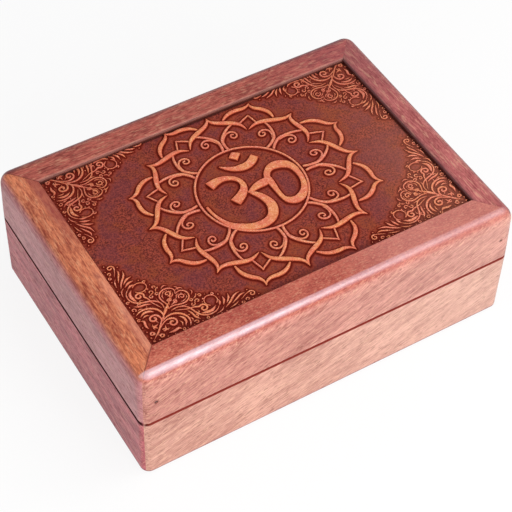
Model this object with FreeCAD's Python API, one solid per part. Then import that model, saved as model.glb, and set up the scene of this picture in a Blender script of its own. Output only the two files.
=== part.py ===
import FreeCAD, Part

import math
import os

Vector = FreeCAD.Vector

# A small wooden box for a deck of cards: four mitred walls and a bottom board below,
# four mitred rails round a carved panel above, and two brass butt hinges at the back.
# Millimetres. X runs along the box, -Y is the front, +Y is the hinged back, +Z is up.
# The origin is the middle of the underside.

# Closed box
length = 178.0
depth = 129.0
base_height = 34.0
lid_height = 27.3
seam_gap = 0.2

# Walls of the base and rails of the lid, which were one frame before it was sawn apart
long_wall = 15.2
side_wall = 13.2

# Rounded and eased edges
corner_radius = 4.0
lid_top_corner_radius = 6.0
lid_top_round = 5.5
foot_round = 1.0
seam_ease = 0.5
rim_ease = 0.4
recess_ease = 0.5

# Carved panel, held in a groove of the lid rails
panel_thickness = 5.0
panel_recess = 2.0
panel_tongue = 4.0
panel_play = 0.1

# Bottom board, in a rebate under the walls, and its nails
bottom_thickness = 4.0
bottom_seat = 7.0
bottom_play = 0.1
nail_diameter = 1.5
nail_length = 16.0
nail_head_diameter = 3.0
nail_head_height = 0.8
nail_corner_distance = 22.0
nails_on_long_side = 3
nails_on_short_side = 2

# Felt pad on the bottom board
lining_thickness = 1.0
lining_play = 0.4
lining_corner_radius = 2.0

# Brads across the mitres of the lid, set below the surface
brad_diameter = 1.2
brad_length = 20.0
brad_head_diameter = 1.8
brad_head_height = 0.7
brad_set = 0.6
brad_from_end = 6.5
brad_height = 12.5

# Butt hinges
hinge_length = 25.0
hinge_from_end = 38.0
leaf_width = 8.5
leaf_thickness = 1.2
leaf_gap = 0.4
leaf_play = 0.1
barrel_diameter = 4.0
barrel_play = 0.3
knuckle_count = 5
knuckle_gap = 0.2
pin_diameter = 2.0
pin_running_clearance = 0.05
pin_press_clearance = 0.02

# The back edges are bevelled from the hinge axis, and the bevels meet as the lid's stop
opening_angle = 100.0
stop_clearance_angle = 1.0

# Countersunk screws of the hinge leaves
screw_diameter = 2.0
screw_length = 9.0
screw_head_diameter = 3.6
screw_point_length = 2.5
screw_slot_width = 0.5
screw_slot_depth = 0.4
screw_spacing = 15.0
screw_from_axis = 5.4

# Places that follow from the sizes above
half_length = length / 2
half_depth = depth / 2
lid_bottom = base_height + seam_gap
lid_top = lid_bottom + lid_height
panel_top = lid_top - panel_recess
panel_bottom = panel_top - panel_thickness
inner_half_length = half_length - side_wall
inner_half_depth = half_depth - long_wall
barrel_radius = barrel_diameter / 2
axis_y = half_depth - barrel_radius
axis_z = base_height + seam_gap / 2
barrel_pocket_radius = barrel_radius + barrel_play
bevel_angle = math.radians((opening_angle + stop_clearance_angle) / 2)
hinge_places = {"left": -half_length + hinge_from_end, "right": half_length - hinge_from_end}

# How far a cutting shape runs past the face that it cuts
overrun = 5.0


def block(x0, x1, y0, y1, z0, z1):
    """A box between two corners."""
    return Part.makeBox(x1 - x0, y1 - y0, z1 - z0, Vector(x0, y0, z0))


def centred_block(half_x, half_y, z0, z1):
    """A box centred on the Z axis in plan."""
    return block(-half_x, half_x, -half_y, half_y, z0, z1)


def rod(radius, start, end):
    """A round bar from one point to another."""
    along = end.sub(start)
    return Part.makeCylinder(radius, along.Length, start, along)


def is_upright(edge):
    """True for a straight edge that runs along Z."""
    first, last = edge.Vertexes[0].Point, edge.Vertexes[-1].Point
    return abs(first.x - last.x) < 1e-6 and abs(first.y - last.y) < 1e-6


def edges_at(shape, z):
    """The edges of a shape that lie in the level plane at z."""
    level = []
    for edge in shape.Edges:
        if all(abs(vertex.Z - z) < 1e-6 for vertex in edge.Vertexes):
            level.append(edge)
    return level


def inner_edges_at(shape, z):
    """The edges at z that go round the inside of the walls."""
    inner = []
    for edge in edges_at(shape, z):
        middle = edge.CenterOfMass
        if abs(middle.x) < inner_half_length + 1e-3 and abs(middle.y) < inner_half_depth + 1e-3:
            inner.append(edge)
    return inner


def round_upright_edges(shape, radius_below, radius_above):
    """Round the four upright corners, with a radius that may change with height."""
    for quarter in range(4):
        for edge in shape.Edges:
            if not is_upright(edge) or edge.Curve.TypeId != "Part::GeomLine":
                continue
            place = edge.CenterOfMass
            if abs(abs(place.x) - half_length) > 1e-6 or abs(abs(place.y) - half_depth) > 1e-6:
                continue
            starts_low = edge.valueAt(edge.FirstParameter).z < place.z
            first = radius_below if starts_low else radius_above
            last = radius_above if starts_low else radius_below
            shape = shape.makeFillet(first, last, [edge])
            break
    return shape


def back_bevel(direction):
    """The wedge taken off the back edge, from the hinge axis outward, up (1) or down (-1)."""
    reach = barrel_radius + overrun
    tip = Vector(-half_length - overrun, axis_y, axis_z)
    level = Vector(tip.x, axis_y + reach, axis_z)
    slanted = Vector(tip.x, axis_y + reach, axis_z + direction * reach * math.tan(bevel_angle))
    face = Part.Face(Part.makePolygon([tip, level, slanted, tip]))
    return face.extrude(Vector(length + 2 * overrun, 0, 0))


def mitred_sector(side):
    """The plan wedge of one side, cut along the lines from outer to inner corner."""
    outward = -0.3
    inward = 1.5
    corners = {
        "front": [(-1, -1, outward), (1, -1, outward), (1, -1, inward), (-1, -1, inward)],
        "back": [(-1, 1, outward), (1, 1, outward), (1, 1, inward), (-1, 1, inward)],
        "left": [(-1, -1, outward), (-1, 1, outward), (-1, 1, inward), (-1, -1, inward)],
        "right": [(1, -1, outward), (1, 1, outward), (1, 1, inward), (1, -1, inward)],
    }[side]
    points = []
    for x_sign, y_sign, share in corners:
        x = x_sign * (half_length - share * side_wall)
        y = y_sign * (half_depth - share * long_wall)
        points.append(Vector(x, y, -overrun))
    points.append(points[0])
    return Part.Face(Part.makePolygon(points)).extrude(Vector(0, 0, lid_top + 2 * overrun))


def only_solid(shape):
    """The largest solid of a shape, which is what a cut or a common part leaves."""
    return max(shape.Solids, key=lambda solid: solid.Volume)


# Screws, nails and brads

def screw(x, y, face_z, direction, slotted=True):
    """A countersunk screw whose head is flush at face_z and whose point goes along direction."""
    along = Vector(0, 0, direction)
    top = Vector(x, y, face_z)
    radius = screw_diameter / 2
    head_radius = screw_head_diameter / 2
    head_height = head_radius - radius
    head = Part.makeCone(head_radius, radius, head_height, top, along)
    shank_length = screw_length - head_height - screw_point_length
    shank_start = top + along * head_height
    shank = Part.makeCylinder(radius, shank_length, shank_start, along)
    point = Part.makeCone(radius, 0, screw_point_length, shank_start + along * shank_length, along)
    whole = head.fuse(shank).fuse(point).removeSplitter()
    if slotted:
        low, high = sorted((face_z - direction * overrun, face_z + direction * screw_slot_depth))
        slot = block(x - head_radius, x + head_radius, y - screw_slot_width / 2,
                     y + screw_slot_width / 2, low, high)
        whole = whole.cut(slot)
    return only_solid(whole)


def hinge_screws(side, direction, slotted=True):
    """The two screws of one leaf: direction -1 goes into the base, 1 into the lid."""
    face_z = axis_z + direction * leaf_gap / 2
    screws = []
    for x_sign in (-1, 1):
        x = hinge_places[side] + x_sign * screw_spacing / 2
        screws.append(screw(x, axis_y - screw_from_axis, face_z, direction, slotted))
    return screws


def nail_places():
    """The plan places of the nails, along the middle of the rebate on all four sides."""
    from_edge = bottom_seat / 2
    long_y = inner_half_depth + from_edge
    side_x = inner_half_length + from_edge
    reach = half_length - nail_corner_distance
    places = []
    for index in range(nails_on_long_side):
        x = -reach + 2 * reach * index / (nails_on_long_side - 1)
        places += [(x, -long_y), (x, long_y)]
    reach = half_depth - nail_corner_distance
    for index in range(nails_on_short_side):
        y = -reach + 2 * reach * index / (nails_on_short_side - 1)
        places += [(-side_x, y), (side_x, y)]
    return places


def bottom_nails():
    """Flat-headed nails driven up through the bottom board, flush with its underside."""
    nails = []
    for x, y in nail_places():
        foot = Vector(x, y, 0)
        head = Part.makeCylinder(nail_head_diameter / 2, nail_head_height, foot)
        shank = Part.makeCylinder(nail_diameter / 2, nail_length, foot)
        nails.append(head.fuse(shank).removeSplitter())
    return nails


def corner_brads(as_holes=False):
    """Brads from the front and back faces across each mitre, or the holes that they leave."""
    z = lid_bottom + brad_height
    shapes = []
    for y_sign in (-1, 1):
        inward = Vector(0, -y_sign, 0)
        for x_sign in (-1, 1):
            x = x_sign * (half_length - brad_from_end)
            surface = Vector(x, y_sign * half_depth, z)
            head_top = surface + inward * brad_set
            head = Part.makeCylinder(brad_head_diameter / 2, brad_head_height, head_top, inward)
            shank = Part.makeCylinder(brad_diameter / 2, brad_length, head_top, inward)
            brad = head.fuse(shank).removeSplitter()
            if as_holes:
                outside = surface - inward * overrun
                mouth = rod(brad_head_diameter / 2, outside, head_top)
                brad = brad.fuse(mouth).removeSplitter()
            shapes.append(brad)
    return shapes


# Hinges

def knuckle_span(x, index):
    """Where one knuckle of the hinge at x starts and ends along the axis."""
    pitch = (hinge_length + knuckle_gap) / knuckle_count
    start = x - hinge_length / 2 + index * pitch
    return start, start + pitch - knuckle_gap


def hinge_leaf(side, direction):
    """One leaf with its knuckles: direction -1 lies on the base, 1 in the lid."""
    x = hinge_places[side]
    near = axis_z + direction * leaf_gap / 2
    far = near + direction * leaf_thickness
    low, high = sorted((near, far))
    leaf = block(x - hinge_length / 2, x + hinge_length / 2, axis_y - leaf_width, axis_y, low, high)
    own_parity = 0 if direction < 0 else 1
    bore_clearance = pin_press_clearance if direction < 0 else pin_running_clearance
    bore_radius = pin_diameter / 2 + bore_clearance
    for index in range(knuckle_count):
        start, end = knuckle_span(x, index)
        if index % 2 == own_parity:
            leaf = leaf.fuse(rod(barrel_radius, Vector(start, axis_y, axis_z), Vector(end, axis_y, axis_z)))
        else:
            room_start = Vector(start - knuckle_gap, axis_y, axis_z)
            room_end = Vector(end + knuckle_gap, axis_y, axis_z)
            leaf = leaf.cut(rod(barrel_radius + knuckle_gap, room_start, room_end))
    axis_start = Vector(x - hinge_length / 2 - overrun, axis_y, axis_z)
    axis_end = Vector(x + hinge_length / 2 + overrun, axis_y, axis_z)
    leaf = leaf.cut(rod(bore_radius, axis_start, axis_end))
    for fastener in hinge_screws(side, direction, slotted=False):
        leaf = leaf.cut(fastener)
    return only_solid(leaf.removeSplitter())


def hinge_pin(side):
    """The pin that runs through all the knuckles."""
    x = hinge_places[side]
    start = Vector(x - hinge_length / 2, axis_y, axis_z)
    end = Vector(x + hinge_length / 2, axis_y, axis_z)
    return rod(pin_diameter / 2, start, end)


def hinge_room(side, direction):
    """The gain for a leaf and the pocket round the barrel, as one cutting shape."""
    x = hinge_places[side]
    half = hinge_length / 2 + leaf_play
    floor = axis_z + direction * (leaf_gap / 2 + leaf_thickness)
    low, high = sorted((floor, axis_z - direction * seam_gap))
    gain = block(x - half, x + half, axis_y - leaf_width - leaf_play, axis_y, low, high)
    pocket_start = Vector(x - half, axis_y, axis_z)
    pocket_end = Vector(x + half, axis_y, axis_z)
    return gain.fuse(rod(barrel_pocket_radius, pocket_start, pocket_end))


# Base

def base_frame():
    """The four walls of the base before they are parted at the mitres."""
    frame = centred_block(half_length, half_depth, 0, base_height)
    frame = round_upright_edges(frame, corner_radius, corner_radius)
    frame = frame.makeFillet(foot_round, edges_at(frame, 0))
    frame = frame.makeChamfer(seam_ease, edges_at(frame, base_height))
    well = centred_block(inner_half_length, inner_half_depth, -overrun, base_height + overrun)
    frame = frame.cut(well)
    frame = frame.makeChamfer(rim_ease, inner_edges_at(frame, base_height))
    rebate_x = inner_half_length + bottom_seat
    rebate_y = inner_half_depth + bottom_seat
    frame = frame.cut(centred_block(rebate_x, rebate_y, -overrun, bottom_thickness))
    frame = frame.cut(back_bevel(-1))
    for nail in bottom_nails():
        frame = frame.cut(nail)
    for side in hinge_places:
        frame = frame.cut(hinge_room(side, -1))
        for fastener in hinge_screws(side, -1, slotted=False):
            frame = frame.cut(fastener)
    return frame


def bottom_board():
    """The board let in flush under the walls."""
    board = centred_block(inner_half_length + bottom_seat - bottom_play,
                          inner_half_depth + bottom_seat - bottom_play, 0, bottom_thickness)
    for nail in bottom_nails():
        board = board.cut(nail)
    return board


def base_lining():
    """The felt pad on the floor of the well."""
    pad = centred_block(inner_half_length - lining_play, inner_half_depth - lining_play,
                        bottom_thickness, bottom_thickness + lining_thickness)
    return pad.makeFillet(lining_corner_radius, [edge for edge in pad.Edges if is_upright(edge)])


# Lid

def lid_frame():
    """The four rails of the lid before they are parted at the mitres."""
    frame = centred_block(half_length, half_depth, lid_bottom, lid_top)
    frame = round_upright_edges(frame, corner_radius, lid_top_corner_radius)
    frame = frame.makeFillet(lid_top_round, edges_at(frame, lid_top))
    frame = frame.makeChamfer(seam_ease, edges_at(frame, lid_bottom))
    hollow = centred_block(inner_half_length, inner_half_depth, lid_bottom - overrun, lid_top + overrun)
    frame = frame.cut(hollow)
    frame = frame.makeChamfer(rim_ease, inner_edges_at(frame, lid_bottom))
    frame = frame.makeFillet(recess_ease, inner_edges_at(frame, lid_top))
    groove = centred_block(inner_half_length + panel_tongue + panel_play,
                           inner_half_depth + panel_tongue + panel_play,
                           panel_bottom, panel_top)
    frame = frame.cut(groove)
    frame = frame.cut(back_bevel(1))
    for brad in corner_brads(as_holes=True):
        frame = frame.cut(brad)
    for side in hinge_places:
        frame = frame.cut(hinge_room(side, 1))
        for fastener in hinge_screws(side, 1, slotted=False):
            frame = frame.cut(fastener)
    return frame


def carved_panel():
    """The board in the lid, whose upper face carries the carving."""
    return centred_block(inner_half_length + panel_tongue, inner_half_depth + panel_tongue,
                         panel_bottom, panel_top)


def make_parts():
    """Every piece of the box by its name; a list is a group of separate solids."""
    pieces = {}
    whole_base = base_frame()
    whole_lid = lid_frame()
    for side in ("front", "back", "left", "right"):
        sector = mitred_sector(side)
        pieces["base_" + side + "_wall"] = only_solid(whole_base.common(sector))
        pieces["lid_" + side + "_rail"] = only_solid(whole_lid.common(sector))
    pieces["bottom_board"] = bottom_board()
    pieces["bottom_nails"] = bottom_nails()
    pieces["base_lining"] = base_lining()
    pieces["carved_panel"] = carved_panel()
    pieces["lid_corner_brads"] = corner_brads()
    for side in hinge_places:
        pieces[side + "_hinge_base_leaf"] = hinge_leaf(side, -1)
        pieces[side + "_hinge_lid_leaf"] = hinge_leaf(side, 1)
        pieces[side + "_hinge_pin"] = hinge_pin(side)
        pieces[side + "_hinge_base_screws"] = hinge_screws(side, -1)
        pieces[side + "_hinge_lid_screws"] = hinge_screws(side, 1)
    return pieces


os.makedirs("parts", exist_ok=True)
for name, piece in make_parts().items():
    shape = Part.makeCompound(piece) if isinstance(piece, list) else piece
    assert shape.isValid(), name
    shape.exportStep("parts/" + name + ".step")
    box = shape.BoundBox
    print(name, len(shape.Solids), "solids", round(shape.Volume, 1), "mm3",
          "x", round(box.XMin, 2), round(box.XMax, 2),
          "y", round(box.YMin, 2), round(box.YMax, 2),
          "z", round(box.ZMin, 2), round(box.ZMax, 2))
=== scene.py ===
# %% [markdown]
# A wooden card box with a carved lid: four mitred walls below, a lid of four thick rails
# round a sunk panel, and a sign and ornament left standing on the panel in flat relief.
# The construction is already modelled, and it is loaded here as a frame that never moves.
# What this lesson adds is the wood, the carving, the metal and the cloth.

# %% Load the construction model
import math

import bmesh
import bpy
import numpy as np
from mathutils import Matrix, Vector


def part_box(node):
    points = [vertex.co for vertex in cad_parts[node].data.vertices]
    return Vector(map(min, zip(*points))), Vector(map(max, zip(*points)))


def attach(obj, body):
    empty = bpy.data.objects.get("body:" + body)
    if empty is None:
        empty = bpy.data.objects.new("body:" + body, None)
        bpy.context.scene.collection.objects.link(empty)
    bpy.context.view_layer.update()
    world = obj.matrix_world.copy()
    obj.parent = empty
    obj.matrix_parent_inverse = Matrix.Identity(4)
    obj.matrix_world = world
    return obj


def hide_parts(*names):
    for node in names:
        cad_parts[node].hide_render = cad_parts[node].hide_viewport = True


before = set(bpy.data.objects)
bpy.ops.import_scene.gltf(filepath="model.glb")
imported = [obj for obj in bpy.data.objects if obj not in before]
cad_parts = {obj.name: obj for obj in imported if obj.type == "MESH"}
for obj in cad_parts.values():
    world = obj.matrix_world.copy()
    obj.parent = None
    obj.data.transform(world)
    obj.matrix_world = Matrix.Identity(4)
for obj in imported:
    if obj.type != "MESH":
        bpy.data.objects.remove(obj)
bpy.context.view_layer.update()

MM = 0.001

# %% [markdown]
# The camera looks down on the box from the front left, as a buyer would hold it. Its place
# is worked out from the box's own corners, so that an edge in the picture falls on the same
# edge here. It is given as a point to look at, two angles, a distance and a slight roll.

# %% Place the camera
LOOK_AT = Vector((10.07, 13.10, 0.0)) * MM
AZIMUTH = math.radians(-32.5698)
ELEVATION = math.radians(49.6672)
ROLL = math.radians(2.0711)
DISTANCE = 715.04 * MM
FOCAL_LENGTH = 110.61


def place_camera():
    backward = Vector((
        math.sin(AZIMUTH) * math.cos(ELEVATION),
        -math.cos(AZIMUTH) * math.cos(ELEVATION),
        math.sin(ELEVATION),
    ))
    right = (-backward).cross(Vector((0, 0, 1))).normalized()
    up = right.cross(-backward)
    rolled_right = math.cos(ROLL) * right + math.sin(ROLL) * up
    rolled_up = -math.sin(ROLL) * right + math.cos(ROLL) * up
    lens = bpy.data.cameras.new("camera")
    lens.lens = FOCAL_LENGTH
    lens.sensor_width = 36.0
    lens.clip_start = 0.02
    camera = bpy.data.objects.new("camera", lens)
    turn = Matrix((rolled_right, rolled_up, backward)).transposed()
    camera.matrix_world = Matrix.Translation(LOOK_AT + backward * DISTANCE) @ turn.to_4x4()
    bpy.context.scene.collection.objects.link(camera)
    bpy.context.scene.camera = camera
    return camera


camera = place_camera()
print("camera at", [round(x, 3) for x in camera.matrix_world.translation])

# %% [markdown]
# Materials are built from nodes. Written as Python sums they stay readable, so one small
# class stands for a socket: adding or multiplying two of them adds the Math node that does
# it. A second class holds one material and has a single method for every other node.

# %% A socket that takes part in sums


class Wire:
    def __init__(self, finish, socket):
        self.finish = finish
        self.socket = socket

    def maths(self, operation, first, second=0.0):
        return self.finish.node("ShaderNodeMath", {"operation": operation}, {0: first, 1: second})

    def __add__(self, other):
        return self.maths("ADD", self, other)

    def __sub__(self, other):
        return self.maths("SUBTRACT", self, other)

    def __rsub__(self, other):
        return self.maths("SUBTRACT", other, self)

    def __mul__(self, other):
        return self.maths("MULTIPLY", self, other)

    def __truediv__(self, other):
        return self.maths("DIVIDE", self, other)

    def __abs__(self):
        return self.maths("ABSOLUTE", self)

    def __pow__(self, other):
        return self.maths("POWER", self, other)

    __radd__ = __add__
    __rmul__ = __mul__

    def lowest(self, other):
        return self.maths("MINIMUM", self, other)

    def highest(self, other):
        return self.maths("MAXIMUM", self, other)


# %% A material that expressions are written in


def tint(red, green, blue):
    """A colour as a paint chart gives it, 0 to 255, in the linear numbers a shader takes."""
    parts = [x / 255 for x in (red, green, blue)]
    linear = [x / 12.92 if x <= 0.04045 else ((x + 0.055) / 1.055) ** 2.4 for x in parts]
    return (*linear, 1.0)


class Finish:
    """One material, its node tree, and the nodes that recur in every recipe."""

    def __init__(self, name):
        self.material = bpy.data.materials.new(name)
        self.material.use_nodes = True
        self.tree = self.material.node_tree
        self.surface = self.tree.nodes["Principled BSDF"]

    def node(self, kind, settings=None, values=None, output=None):
        made = self.tree.nodes.new(kind)
        for key, value in (settings or {}).items():
            if key == "stops":
                self.set_stops(made.color_ramp, value)
            else:
                setattr(made, key, value)
        for key, value in (values or {}).items():
            self.feed(self.socket(made.inputs, key), value)
        shown = [s for s in made.outputs if s.enabled]
        return Wire(self, shown[0] if output is None else self.socket(made.outputs, output))

    def socket(self, sockets, key):
        if isinstance(key, int):
            return sockets[key]
        return next(s for s in sockets if s.enabled and s.name == key)

    def feed(self, socket, value):
        if isinstance(value, Wire):
            self.tree.links.new(value.socket, socket)
        else:
            socket.default_value = value

    def set_stops(self, ramp, stops):
        while len(ramp.elements) < len(stops):
            ramp.elements.new(1.0)
        for element, (position, colour) in zip(ramp.elements, stops):
            element.position = position
            element.color = colour

    def set(self, **values):
        """Sets the shader's sockets: set(base_color=..., roughness=0.5)."""
        for key, value in values.items():
            wanted = key.replace("_", " ").lower()
            socket = next(s for s in self.surface.inputs if s.name.lower() == wanted)
            self.feed(socket, value)

    def place(self, turn=(0, 0, 0), shift=(0, 0, 0), stretch=(1, 1, 1)):
        """Object coordinates in millimetres, turned in degrees, shifted and stretched."""
        where = self.node("ShaderNodeTexCoord", output="Object")
        plain = self.node("ShaderNodeVectorMath", {"operation": "SCALE"}, {0: where, "Scale": 1000.0})
        turned = {
            "Vector": plain,
            "Rotation": [math.radians(x) for x in turn],
            "Location": shift,
        }
        laid = self.node("ShaderNodeMapping", {}, turned)
        return self.node("ShaderNodeVectorMath", {"operation": "MULTIPLY"}, {0: laid, 1: stretch})

    def axis(self, where, name):
        return self.node("ShaderNodeSeparateXYZ", {}, {"Vector": where}, output=name)

    def noise(self, where, scale, detail=3.0, roughness=0.5, distortion=0.0):
        values = {
            "Vector": where,
            "Scale": scale,
            "Detail": detail,
            "Roughness": roughness,
            "Distortion": distortion,
        }
        return self.node("ShaderNodeTexNoise", {}, values)

    def step(self, value, low, high, start=0.0, end=1.0):
        """A soft step: start below low, end above high."""
        values = {
            "Value": value,
            "From Min": low,
            "From Max": high,
            "To Min": start,
            "To Max": end,
        }
        return self.node("ShaderNodeMapRange", {"interpolation_type": "SMOOTHSTEP"}, values)

    def mix(self, factor, first, second, how="MIX"):
        settings = {"data_type": "RGBA", "blend_type": how}
        return self.node("ShaderNodeMix", settings, {"Factor": factor, "A": first, "B": second})

    def bump(self, height, strength, distance, under=None):
        values = {"Height": height, "Strength": strength, "Distance": distance}
        if under is not None:
            values["Normal"] = under
        return self.node("ShaderNodeBump", {}, values)


print("shader helpers ready")

# %% [markdown]
# The stage is a plain white floor and a soft light room. A narrow soft box hangs overhead
# and a little to the right: it draws the bright line along the front rounding and leaves the
# recess's right wall dark, and the wood adds a painted highlight to that line and painted shade
# to that wall. A broad one in front lights the front walls. The floor and the room look white to the camera
# and to reflections without putting more light on the wood, and the floor keeps the shadow.

# %% Floor, room light and lamps
FLOOR_SIZE = 6.0
ROOM_LIGHT = 0.46
WHITE = (1.0, 1.0, 1.0, 1.0)


def seen_directly(finish):
    """1 for rays that come from the camera, a reflection or glass, otherwise 0."""
    wires = [
        finish.node("ShaderNodeLightPath", output=name)
        for name in ("Is Camera Ray", "Is Glossy Ray", "Is Transmission Ray")
    ]
    return wires[0].highest(wires[1]).highest(wires[2])


def make_floor():
    finish = Finish("white_floor")
    tree = finish.tree
    tree.nodes.remove(finish.surface)
    paint = finish.node("ShaderNodeBsdfDiffuse", {}, {"Color": (0.80, 0.80, 0.80, 1.0)})
    lit = finish.node("ShaderNodeBsdfDiffuse", {}, {"Color": (0.90, 0.90, 0.90, 1.0)})
    glow = finish.node("ShaderNodeEmission", {}, {"Color": WHITE, "Strength": 1.0})
    seen = finish.node("ShaderNodeMixShader", {}, {"Fac": 0.86, 1: lit, 2: glow})
    both = finish.node("ShaderNodeMixShader", {}, {"Fac": seen_directly(finish), 1: paint, 2: seen})
    tree.links.new(both.socket, tree.nodes["Material Output"].inputs["Surface"])
    shape = bmesh.new()
    bmesh.ops.create_grid(shape, x_segments=1, y_segments=1, size=FLOOR_SIZE / 2)
    mesh = bpy.data.meshes.new("floor")
    shape.to_mesh(mesh)
    shape.free()
    mesh.materials.append(finish.material)
    floor = bpy.data.objects.new("floor", mesh)
    bpy.context.scene.collection.objects.link(floor)
    return floor


def light_room():
    world = bpy.data.worlds.new("light_room")
    world.use_nodes = True
    bpy.context.scene.world = world
    tree = world.node_tree
    path = tree.nodes.new("ShaderNodeLightPath")
    seen = path.outputs["Is Camera Ray"]
    for name in ("Is Glossy Ray", "Is Transmission Ray"):
        either = tree.nodes.new("ShaderNodeMath")
        either.operation = "MAXIMUM"
        tree.links.new(seen, either.inputs[0])
        tree.links.new(path.outputs[name], either.inputs[1])
        seen = either.outputs[0]
    level = tree.nodes.new("ShaderNodeMapRange")
    level.inputs["To Min"].default_value = ROOM_LIGHT
    level.inputs["To Max"].default_value = 1.0
    tree.links.new(seen, level.inputs["Value"])
    background = tree.nodes["Background"]
    background.inputs["Color"].default_value = (1.0, 0.985, 0.985, 1.0)
    tree.links.new(level.outputs[0], background.inputs["Strength"])


def add_soft_box(name, place, aim, width, depth, power, colour):
    lamp = bpy.data.lights.new(name, "AREA")
    lamp.shape = "RECTANGLE"
    lamp.size = width
    lamp.size_y = depth
    lamp.energy = power
    lamp.color = colour
    soft_box = bpy.data.objects.new(name, lamp)
    backward = (Vector(place) - Vector(aim)).normalized()
    upward = backward.cross(Vector((1, 0, 0))).normalized()
    turn = Matrix((upward.cross(backward), upward, backward)).transposed()
    soft_box.matrix_world = Matrix.Translation(place) @ turn.to_4x4()
    bpy.context.scene.collection.objects.link(soft_box)
    return soft_box


make_floor()
light_room()
BOX_MIDDLE = (0.0, 0.0, 0.03)
add_soft_box("top_light", (0.28, -0.15, 0.73), BOX_MIDDLE, 0.56, 0.30, 2.6, (1.0, 0.98, 1.0))
add_soft_box("front_light", (-0.10, -0.75, 0.34), BOX_MIDDLE, 0.80, 0.50, 5.2, (1.0, 0.98, 0.97))
bpy.context.scene.view_settings.view_transform = "Standard"
print("stage lit")

# %% [markdown]
# Rosewood-like hardwood: salmon to red-brown, with short dark pores that follow the grain,
# soft ribbons a few millimetres wide, and streaks of yellower sapwood. Each stick of the
# frame is cut separately, so each gets its own turn and shift of the same recipe, which is
# what makes the mitres read as joints.

# %% The frame wood
OUTER_X = 89.0
OUTER_Y = 64.5
INNER_X = 75.8
INNER_Y = 49.3
LID_TOP = 61.5


SEAM = 34.1


def mitre_line(finish, x, y, z):
    """1 on the thin glue line of the mitres on top, fainter on the right, 0 away from it."""
    run = math.hypot(OUTER_X - INNER_X, OUTER_Y - INNER_Y)
    across = (abs(x) - OUTER_X) * ((OUTER_Y - INNER_Y) / run)
    along = (abs(y) - OUTER_Y) * ((OUTER_X - INNER_X) / run)
    line = finish.step(abs(across - along), 0.08, 0.35, 1.0, 0.0)
    line = line * finish.step(z, LID_TOP - 1.4, LID_TOP - 0.4)
    return line * finish.step(x, -20.0, 20.0, 0.7, 0.12)


def seam_line(finish, x, y, z):
    """1 on the skin of the box along the seam, wider on the left where the lid sits high."""
    left = finish.step(x, 4.0 - OUTER_X, 0.3 - OUTER_X, 0.0, 0.3)
    line = finish.step(abs(z - y * 0.006 - SEAM) - left, 0.42, 0.95, 0.96, 0.0)
    skin = finish.step(abs(x), OUTER_X - 1.6, OUTER_X - 0.6)
    return line * skin.highest(finish.step(abs(y), OUTER_Y - 1.6, OUTER_Y - 0.6))


def joint_lines_and_painted_shade(finish, colour, plain, seam):
    """Darkens the mitres' glue lines, and paints shade in the seam's gap, on the walls of the sunk panel and inside,
    and on the far roundings.
    """
    x, y, z = (finish.axis(plain, name) for name in "XYZ")
    # Painted shade in the seam's gap, near black at the left end where the lid sits high.
    seam_gap_shade = finish.mix(finish.step(x, 4.0 - OUTER_X, 0.3 - OUTER_X), tint(120, 30, 22), tint(44, 6, 10))
    colour = finish.mix(mitre_line(finish, x, y, z), colour, tint(92, 28, 20))
    colour = finish.mix(seam, colour, seam_gap_shade)
    # Painted shade on the walls round the sunk panel, fainter on the walls further down inside the box.
    inside = finish.step(abs(x), INNER_X + 0.25, INNER_X + 0.5, 1.0, 0.0)
    inside = inside * finish.step(abs(y), INNER_Y + 0.25, INNER_Y + 0.5, 1.0, 0.0)
    sunk = inside * finish.step(z, LID_TOP - 1.3, LID_TOP - 0.5, 0.9, 0.0)
    sunk = sunk * finish.step(z, LID_TOP - 8.0, LID_TOP - 6.0, 0.3, 1.0)
    colour = finish.mix(sunk, colour, tint(58, 20, 16))
    # Painted shade, mauve-grey, on the lid's back and right roundings.
    far = finish.step(y, OUTER_Y - 5.0, OUTER_Y - 0.6).highest(finish.step(x, OUTER_X - 3.0, OUTER_X - 0.3))
    far_rounding_shade = far * finish.step(z, LID_TOP - 3.8, LID_TOP - 2.0)
    return finish.mix(far_rounding_shade * 0.85, colour, tint(92, 60, 72))


def gloss_and_painted_highlight_band(finish, plain):
    """1 on the upper half of the lid's front rounding, reaching lower at the left end, where a glossy coat and a
    painted highlight go.
    """
    x, y, z = (finish.axis(plain, name) for name in "XYZ")
    rim = finish.step(y, 5.0 - OUTER_Y, 6.0 - OUTER_Y, 1.0, 0.0)
    lowered = z - finish.step(x, 10.0 - OUTER_X, 0.0, 0.0, 0.4)
    return rim * finish.step(lowered, LID_TOP - 1.7, LID_TOP - 0.6)


def stretched(finish, where, along):
    """The same place with the grain's direction shortened, so that noise runs along it."""
    values = {0: where, 1: (along, 1.0, 1.0)}
    return finish.node("ShaderNodeVectorMath", {"operation": "MULTIPLY"}, values)


def drifted_tone_and_painted_light(finish, colour, plain, crown, on_top, spans, tone, amount):
    """Lets one stick's colour change along the spans, on its top or on its side: slow changes of the wood's tone, and
    bands of painted highlight, shade and sheen.
    """
    run = (crown if on_top else 1.0 - crown) * amount
    for axis, start, end in spans:
        run = run * finish.step(finish.axis(plain, axis), start, end)
    return finish.mix(run, colour, tone)


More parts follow.
